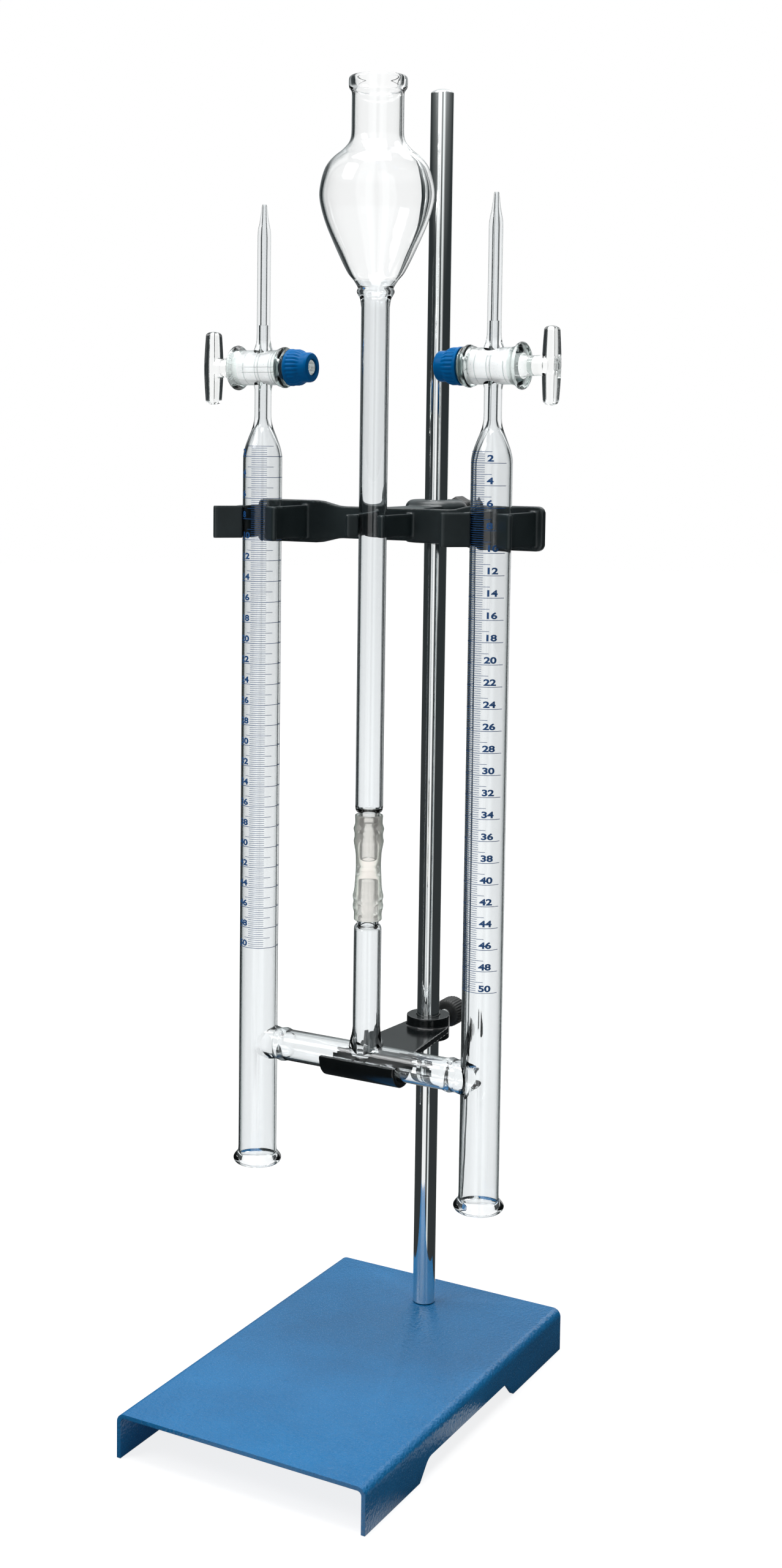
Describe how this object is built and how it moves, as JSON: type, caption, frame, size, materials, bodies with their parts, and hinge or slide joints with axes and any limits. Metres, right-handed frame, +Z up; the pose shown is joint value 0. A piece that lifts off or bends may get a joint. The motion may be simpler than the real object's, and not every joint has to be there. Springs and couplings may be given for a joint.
{
  "type": "retort stand",
  "caption": "Retort stand with a notched channel base and an upright rod that holds graduated glass tubes joined to a stemmed bulb reservoir, with T-handled stopcocks for splitting water.",
  "frame": {"origin": "middle of the object's bounding box, on the bench surface under the base", "axes": "+Z up the rod, +X from the left gas tube to the right one, -Y the front, where the glass stands before the rod"},
  "size_m": [0.1788, 0.2036, 0.6124],
  "materials": {
    "blue_paint": "fine-textured glossy powder coat",
    "zinc_steel": "zinc plated",
    "chrome_rod": "polished",
    "black_plastic": "moulded, semi-gloss",
    "blue_plastic": "moulded",
    "clear_washer": "clear",
    "grey_rubber": "smooth",
    "silicone": "translucent",
    "clear_glass": "fire polished borosilicate glass with a printed blue scale"
  },
  "bodies": {
    "base": {"base_plate": "blue_paint", "rod_washer": "zinc_steel", "rod_nut": "zinc_steel"},
    "rod": {"stand_rod": "chrome_rod"},
    "cradle": {"cradle_bracket": "black_plastic"},
    "cradle_shank": {"cradle_screw": "zinc_steel"},
    "cradle_knob": {"cradle_screw_knob": "black_plastic"},
    "clamp": {"tube_clamp": "black_plastic"},
    "clamp_shank": {"clamp_screw": "zinc_steel"},
    "clamp_knob": {"clamp_screw_knob": "black_plastic"},
    "glassware": {"gas_tube_left": "clear_glass", "gas_tube_right": "clear_glass", "cross_tube": "clear_glass", "riser_tube": "clear_glass", "stopcock_barrel_left": "clear_glass", "stopcock_barrel_right": "clear_glass", "jet_left": "clear_glass", "jet_right": "clear_glass", "silicone_coupling": "silicone"},
    "reservoir": {"reservoir_stem": "clear_glass", "reservoir_bulb": "clear_glass"},
    "key_left": {"stopcock_key_left": "clear_glass", "key_washer_left": "clear_washer", "key_oring_left": "grey_rubber", "key_nut_left": "blue_plastic"},
    "key_right": {"stopcock_key_right": "clear_glass", "key_washer_right": "clear_washer", "key_oring_right": "grey_rubber", "key_nut_right": "blue_plastic"}
  },
  "joints": [
    {"name": "stand_swivel", "type": "hinge", "parent": "base", "child": "rod", "pos_m": [0, 0.07175, 0.0206], "axis": [0, 0, 1], "continuous": true},
    {"name": "cradle_slide", "type": "slide", "parent": "rod", "child": "cradle", "axis": [0, 0, 1], "range_m": [-0.125, 0]},
    {"name": "cradle_screw_travel", "type": "slide", "parent": "cradle", "child": "cradle_shank", "axis": [0, 1, 0], "range_m": [0, 0.0035]},
    {"name": "cradle_knob_turn", "type": "hinge", "parent": "cradle_shank", "child": "cradle_knob", "pos_m": [0, 0.096, 0.162], "axis": [0, 1, 0], "range_deg": [0, 1800]},
    {"name": "clamp_slide", "type": "slide", "parent": "rod", "child": "clamp", "axis": [0, 0, 1], "range_m": [0, 0.17]},
    {"name": "clamp_screw_travel", "type": "slide", "parent": "clamp", "child": "clamp_shank", "axis": [0, 1, 0], "range_m": [0, 0.0035]},
    {"name": "clamp_knob_turn", "type": "hinge", "parent": "clamp_shank", "child": "clamp_knob", "pos_m": [0, 0.097, 0.4115], "axis": [0, 1, 0], "range_deg": [0, 1800]},
    {"name": "glass_lift", "type": "slide", "parent": "clamp", "child": "glassware", "axis": [0, 0, 1], "range_m": [0, 0.12]},
    {"name": "reservoir_lift", "type": "slide", "parent": "glassware", "child": "reservoir", "axis": [0, 0, 1], "range_m": [0, 0.03]},
    {"name": "key_left_turn", "type": "hinge", "parent": "glassware", "child": "key_left", "pos_m": [-0.059, 0.00845, 0.4805], "axis": [1, 0, 0], "continuous": true},
    {"name": "key_right_turn", "type": "hinge", "parent": "glassware", "child": "key_right", "pos_m": [0.059, 0.00845, 0.4805], "axis": [1, 0, 0], "continuous": true}
  ],
  "couplings": [
    {"joint": "cradle_knob_turn", "follows": "cradle_screw_travel", "rad_per_m": 8976},
    {"joint": "clamp_knob_turn", "follows": "clamp_screw_travel", "rad_per_m": 8976}
  ]
}
